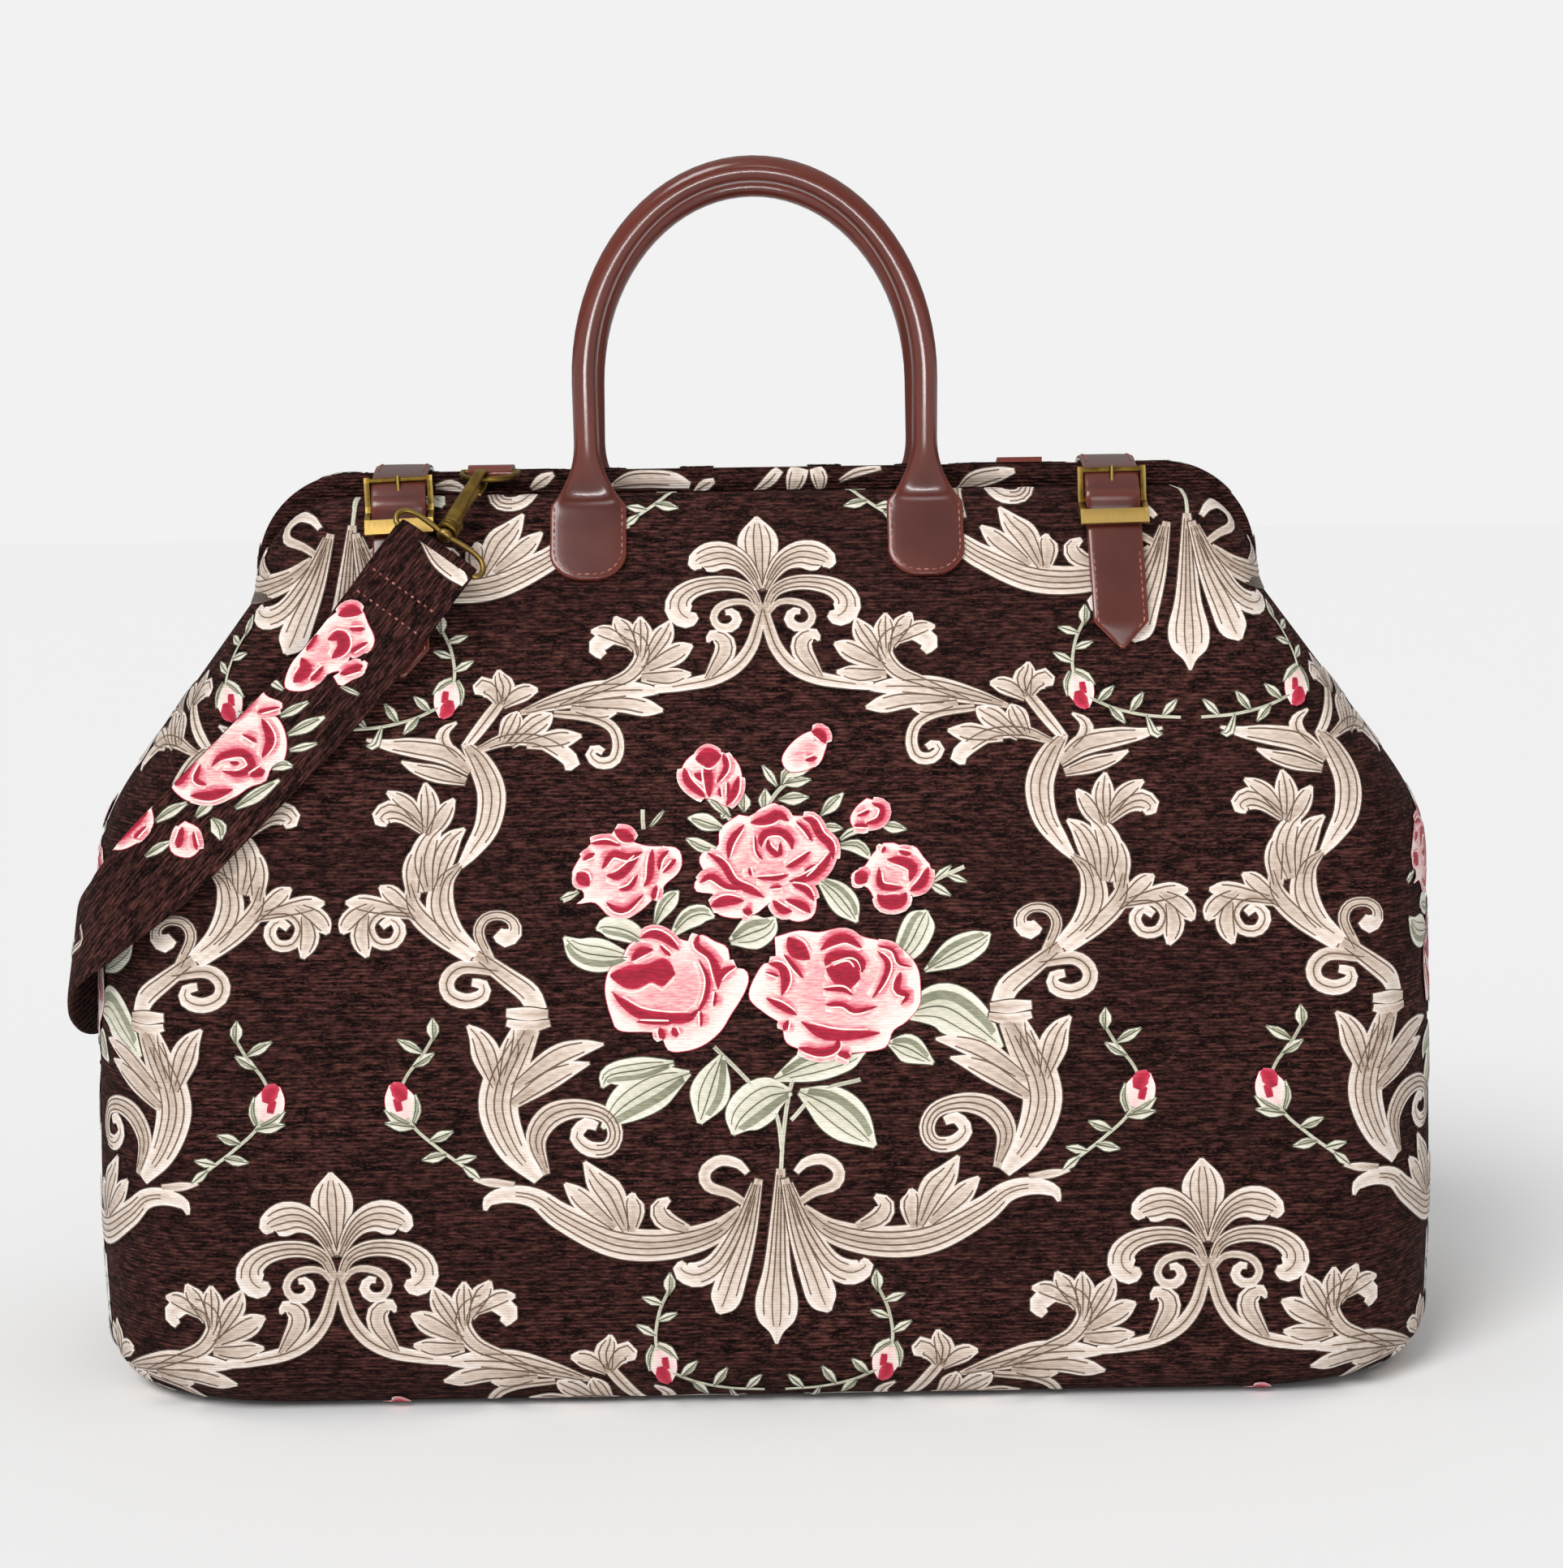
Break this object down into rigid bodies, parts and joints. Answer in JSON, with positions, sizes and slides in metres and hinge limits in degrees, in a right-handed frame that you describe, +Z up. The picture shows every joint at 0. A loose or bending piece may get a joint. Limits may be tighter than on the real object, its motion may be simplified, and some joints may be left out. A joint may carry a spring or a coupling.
{
  "type": "carpet bag",
  "caption": "Soft travelling bag of floral jacquard cloth on a hinged frame, with rolled leather handles, buckled belts and a clip-on shoulder strap.",
  "frame": {"origin": "middle of the base, on the floor", "axes": "+X to the right seen from the front, +Y from the front to the back, +Z up"},
  "size_m": [0.5713, 0.2352, 0.4954],
  "materials": {
    "carpet_cloth": "ribbed chenille jacquard",
    "lining": "plain weave",
    "leather": "smooth, semi-gloss",
    "antique_brass": "aged, brushed",
    "steel": "plain",
    "board": "matt"
  },
  "bodies": {
    "bag": {"front_panel": "carpet_cloth", "rear_panel": "carpet_cloth", "base_panel": "carpet_cloth", "shoulder_strap": "carpet_cloth", "front_left_tab": "leather", "front_right_tab": "leather", "rear_left_tab": "leather", "rear_right_tab": "leather", "left_belt": "leather", "right_belt": "leather", "left_chape": "leather", "right_chape": "leather", "left_ring_tab": "leather", "right_ring_tab": "leather", "left_buckle": "antique_brass", "right_buckle": "antique_brass", "left_strap_loop": "antique_brass", "right_strap_loop": "antique_brass", "front_frame": "steel", "rear_frame": "steel", "left_frame_link": "steel", "right_frame_link": "steel", "base_board": "board", "lining": "lining"},
    "front_handle": {"front_handle": "leather"},
    "rear_handle": {"rear_handle": "leather"},
    "left_prong": {"left_prong": "antique_brass"},
    "right_prong": {"right_prong": "antique_brass"},
    "left_ring": {"left_ring": "antique_brass"},
    "right_ring": {"right_ring": "antique_brass"},
    "left_hook": {"left_hook": "antique_brass", "left_gate_pin": "antique_brass"},
    "right_hook": {"right_hook": "antique_brass", "right_gate_pin": "antique_brass"},
    "left_gate": {"left_hook_gate": "antique_brass"},
    "right_gate": {"right_hook_gate": "antique_brass"}
  },
  "joints": [
    {"name": "front_handle_fold", "type": "hinge", "parent": "bag", "child": "front_handle", "pos_m": [0, -0.02294, 0.35874], "axis": [1, 0, 0], "range_deg": [-12, 120]},
    {"name": "rear_handle_fold", "type": "hinge", "parent": "bag", "child": "rear_handle", "pos_m": [0, 0.02294, 0.35874], "axis": [-1, 0, 0], "range_deg": [-12, 120]},
    {"name": "left_prong_lift", "type": "hinge", "parent": "bag", "child": "left_prong", "pos_m": [-0.14717, -0.02426, 0.35494], "axis": [0.999, 0.0207, 0.0384], "range_deg": [0, 25]},
    {"name": "right_prong_lift", "type": "hinge", "parent": "bag", "child": "right_prong", "pos_m": [0.14693, -0.02426, 0.35494], "axis": [0.9998, 0.0083, 0.0154], "range_deg": [0, 25]},
    {"name": "left_ring_swing", "type": "hinge", "parent": "bag", "child": "left_ring", "pos_m": [-0.111, -0.0045, 0.3698], "axis": [1, 0, 0], "range_deg": [-1, 2]},
    {"name": "right_ring_swing", "type": "hinge", "parent": "bag", "child": "right_ring", "pos_m": [0.111, 0.02204, 0.3625], "axis": [-1, 0, 0], "range_deg": [-1, 2]},
    {"name": "left_hook_swivel", "type": "hinge", "parent": "bag", "child": "left_hook", "pos_m": [-0.12484, -0.04048, 0.34903], "axis": [0.3697, 0.6861, 0.6265], "range_deg": [-6, 6]},
    {"name": "left_gate_press", "type": "hinge", "parent": "left_hook", "child": "left_gate", "pos_m": [-0.12365, -0.0364, 0.34896], "axis": [0.9291, -0.273, -0.2493], "range_deg": [0, 10], "stiffness_Nm_per_rad": 0.01, "springref_deg": -11.46},
    {"name": "right_hook_swivel", "type": "hinge", "parent": "bag", "child": "right_hook", "pos_m": [0.0935, 0.04456, 0.32762], "axis": [-0.4226, 0.4532, -0.7849], "range_deg": [-6, 6]},
    {"name": "right_gate_press", "type": "hinge", "parent": "right_hook", "child": "right_gate", "pos_m": [0.09486, 0.04068, 0.32873], "axis": [-0.9063, -0.2113, 0.366], "range_deg": [0, 10], "stiffness_Nm_per_rad": 0.01, "springref_deg": -11.46}
  ]
}
